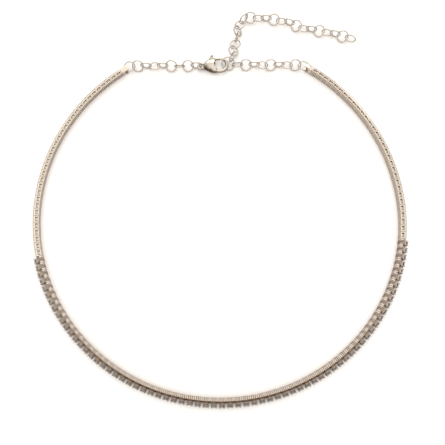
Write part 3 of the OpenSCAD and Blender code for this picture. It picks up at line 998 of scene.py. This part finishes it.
def bent_bar(name, centre, radius, start, end, bar, steps=40, sides=16):
    """A round bar along an arc; bar(share) is its thickness on the way. A whole turn is closed."""
    bm = bmesh.new()
    whole = abs(end - start) >= 360
    turns = [2 * math.pi * k / sides for k in range(sides)]
    rings = []
    for i in range(steps if whole else steps + 1):
        share = i / steps
        a = math.radians(start + (end - start) * share)
        r = bar(share)
        out = Vector((math.cos(a), math.sin(a), 0))
        middle = Vector(centre) + out * radius
        rings.append([bm.verts.new(middle + out * r * math.cos(t)
                                   + Vector((0, 0, r * math.sin(t)))) for t in turns])
    for a, b in zip(rings, rings[1:] + (rings[:1] if whole else [])):
        side_faces(bm, a, b)
    if not whole:
        bm.faces.new(rings[0][::-1])
        bm.faces.new(rings[-1])
    bmesh.ops.recalc_face_normals(bm, faces=bm.faces)
    return loose_mesh(name, bm)


def ball(name, at, radius):
    bm = bmesh.new()
    bmesh.ops.create_uvsphere(bm, u_segments=20, v_segments=12, radius=radius)
    bmesh.ops.translate(bm, vec=at, verts=bm.verts)
    return loose_mesh(name, bm)


def bake_shape(solid):
    """Makes the shape that the modifiers give the solid's own mesh."""
    graph = bpy.context.evaluated_depsgraph_get()
    shaped = bpy.data.meshes.new_from_object(solid.evaluated_get(graph))
    solid.modifiers.clear()
    solid.data = shaped


def cut_away(solid, *cutters):
    for cutter in cutters:
        cut = solid.modifiers.new("cut", "BOOLEAN")
        cut.operation = "DIFFERENCE"
        cut.solver = "EXACT"
        cut.object = cutter
    bake_shape(solid)
    drop(*cutters)


def cast_together(name, parts, grain, rounds):
    """One casting of several parts: their union on a fine grid, with its edges run smooth."""
    bm = bmesh.new()
    for each in parts:
        bm.from_mesh(each.data)
    solid = loose_mesh(name, bm)
    drop(*parts)
    grid = solid.modifiers.new("grid", "REMESH")
    grid.mode = "VOXEL"
    grid.voxel_size = grain
    run = solid.modifiers.new("run", "SMOOTH")
    run.factor = 0.5
    run.iterations = rounds
    bake_shape(solid)
    return solid


def dome_cheeks(solid):
    """Lowers the cheeks' flat sides towards their outline, so that they bulge in the middle."""
    for v in solid.data.vertices:
        away = math.hypot((v.co.x - DOME_AT[0]) / DOME_HALF[0],
                          (v.co.y - DOME_AT[1]) / DOME_HALF[1])
        skin = abs(v.co.z - MID_Z) - SLOT_T / 2
        if v.co.x < CHEEKS_END and skin > 0:
            fall = skin * DOME_FALL * min(1.0, away ** 2)
            v.co.z -= math.copysign(fall, v.co.z - MID_Z)


def shade_sides(solid, folds):
    """Paints shade on the steep sides and dark reflections in the folds, which also roughens them.

    Each fold is x, y, width and how much shade.
    """
    solid.data.update()
    shade = solid.data.attributes.new("painted_shade", "FLOAT", "POINT")
    for v in solid.data.vertices:
        shade_and_dull = SIDES_SHADE * (1 - abs(v.normal.z)) ** 1.5
        for x, y, width, most in folds:
            shade_and_dull += most * math.exp(-((v.co.x - x) ** 2 + (v.co.y - y) ** 2) / width ** 2)
        shade.data[v.index].value = min(MOST_SHADE, shade_and_dull)


def in_clasp_place(piece):
    """Turns a part drawn round the hook's centre to the clasp's place and gives it its metal."""
    place = Matrix.Translation((*HOOK_AT, 0.0)) @ Matrix.Rotation(math.radians(CLASP_TURN), 4, "Z")
    piece.data.transform(Matrix.Scale(MM, 4) @ place)
    piece.data.shade_smooth()
    piece.data.materials.clear()
    piece.data.materials.append(clasp_gold)


def claw_body():
    cheeks = outline_solid("cheeks", CHEEK_OUTLINE, (0.0, CLASP_T), CHEEK_SOFT)
    throat = upright("throat", (0, 0), THROUGH, HOOK_R - HOOK_BAR, 64)
    slot = outline_solid("slot", SLOT_OUTLINE, (MID_Z - SLOT_T / 2, MID_Z + SLOT_T / 2))
    cut_away(cheeks, throat, slot)
    tip = math.radians(HOOK_TIP)
    hook = bent_bar("hook", (0, 0, MID_Z), HOOK_R, HOOK_ROOT, HOOK_TIP,
                    lambda share: HOOK_BAR * (HOOK_SHARE - HOOK_TAPER * share))
    hook_tip = ball("hook_tip", (HOOK_R * math.cos(tip), HOOK_R * math.sin(tip), MID_Z),
                    HOOK_BAR * HOOK_TIP_SHARE)
    eye = bent_bar("eye", (TAIL_X, 0, MID_Z), EYE_R, 0, 360, lambda share: EYE_BAR)
    pin = upright("pin", PIVOT, PIVOT_Z, PIVOT_R, 24)
    parts = [cheeks, hook, hook_tip, eye, pin]
    solid = cast_together("claw_clasp", parts, CLASP_GRAIN, CLASP_ROUNDS)
    dome_cheeks(solid)
    shade_sides(solid, CLASP_FOLDS)
    return solid


clasp_gold = polished_gold("clasp_gold", CLASP_GOLD, CLASP_SHADE, roughness=0.12, grain=500.0)
clasp = claw_body()
in_clasp_place(clasp)
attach(clasp, "necklace")
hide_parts("clasp_body")

# ---- Clasp lever ----
# The spring lever that closes the hook, in the same cast gold: a plate that turns on the pin
# between the cheeks, with a thumb tab at its shoulder and a gate that reaches to the hook's tip.
LEVER_OUTLINE = ((-3.92, -0.3), (-3.85, 1.6), (-3.55, 3.1), (-3.05, 4.0), (-2.6, 4.3),
                 (-2.2, 4.2), (-2.15, 3.3), (-1.5, 2.95), (0.5, 2.85), (0.5, 2.2), (-1.2, 2.25),
                 (-2.1, 1.9), (-2.35, 1.0), (-2.28, -0.3))
LEVER_Z = (MID_Z - 0.42, MID_Z + 0.42)
LEVER_SOFT = 0.2
LEVER_GRAIN = 0.05
LEVER_ROUNDS = 2
BOSS_R = 0.85
HOLE_R = 0.41
# A painted dark reflection on the lever's thumb tab: x, y, width and how much shade
LEVER_FOLDS = ((-2.6, 4.1, 1.1, 0.85),)


def claw_lever():
    arm = outline_solid("arm", LEVER_OUTLINE, LEVER_Z, LEVER_SOFT)
    boss = upright("boss", PIVOT, LEVER_Z, BOSS_R, 40)
    solid = cast_together("claw_lever", [arm, boss], LEVER_GRAIN, LEVER_ROUNDS)
    cut_away(solid, upright("hole", PIVOT, THROUGH, HOLE_R, 32))
    shade_sides(solid, LEVER_FOLDS)
    return solid


lever = claw_lever()
in_clasp_place(lever)
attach(lever, "clasp_lever")
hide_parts("clasp_lever")
